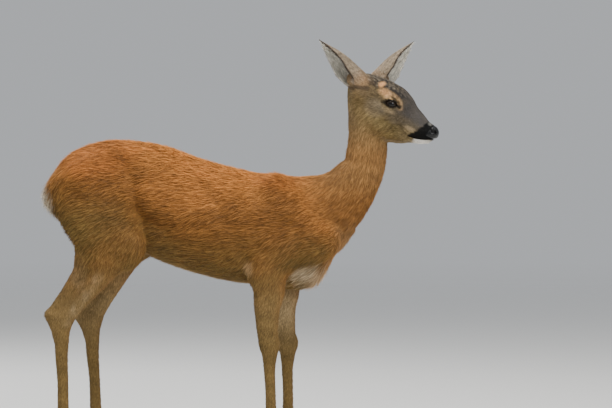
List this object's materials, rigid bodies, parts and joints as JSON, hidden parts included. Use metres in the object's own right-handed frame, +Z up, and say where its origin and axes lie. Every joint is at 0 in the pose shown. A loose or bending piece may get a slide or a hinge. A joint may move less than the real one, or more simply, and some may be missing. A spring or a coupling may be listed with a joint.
{
  "type": "roe deer doe, standing life-size model",
  "caption": "Still life-size model of a slender roe doe standing in profile, rump higher than the shoulder, neck upright, head turned a little to its right and ears raised.",
  "frame": {"origin": "On the floor under the middle of the box round the whole animal.", "axes": "+X runs from the rump to the chest, +Z is up, and +Y is to the animal's left, so its right side faces -Y."},
  "size_m": [0.8638, 0.198, 0.8968],
  "materials": {
    "body_coat": "short dense summer coat, rusty red-brown, satin",
    "leg_coat": "very short leg hair, dull fawn brown",
    "neck_coat": "short neck hair, pinkish brown",
    "tail_coat": "long pale rump hair",
    "face_coat": "velvety face hair, grey-brown with a darker crown",
    "ear_coat": "short grey-brown ear hair, pale inside",
    "nose_leather": "moist black pebbled nose skin",
    "eye_wet": "wet dark brown eye",
    "hoof_horn": "dull black horn"
  },
  "bodies": {
    "root": {"hind_right_thigh": "body_coat", "hind_right_shank": "leg_coat", "hind_right_cannon": "leg_coat", "hind_right_toe_inner": "hoof_horn", "hind_right_toe_outer": "hoof_horn", "hind_right_dewclaw_inner": "hoof_horn", "hind_right_dewclaw_outer": "hoof_horn", "hind_left_thigh": "body_coat", "hind_left_shank": "leg_coat", "hind_left_cannon": "leg_coat", "hind_left_toe_inner": "hoof_horn", "hind_left_toe_outer": "hoof_horn", "hind_left_dewclaw_inner": "hoof_horn", "hind_left_dewclaw_outer": "hoof_horn", "fore_right_forearm": "leg_coat", "fore_right_cannon": "leg_coat", "fore_right_toe_inner": "hoof_horn", "fore_right_toe_outer": "hoof_horn", "fore_right_dewclaw_inner": "hoof_horn", "fore_right_dewclaw_outer": "hoof_horn", "fore_left_forearm": "leg_coat", "fore_left_cannon": "leg_coat", "fore_left_toe_inner": "hoof_horn", "fore_left_toe_outer": "hoof_horn", "fore_left_dewclaw_inner": "hoof_horn", "fore_left_dewclaw_outer": "hoof_horn", "trunk": "body_coat", "tail": "tail_coat", "neck": "neck_coat", "head": "face_coat", "nose": "nose_leather", "eye_right": "eye_wet", "eye_left": "eye_wet", "ear_right": "ear_coat", "ear_left": "ear_coat"}
  },
  "joints": []
}
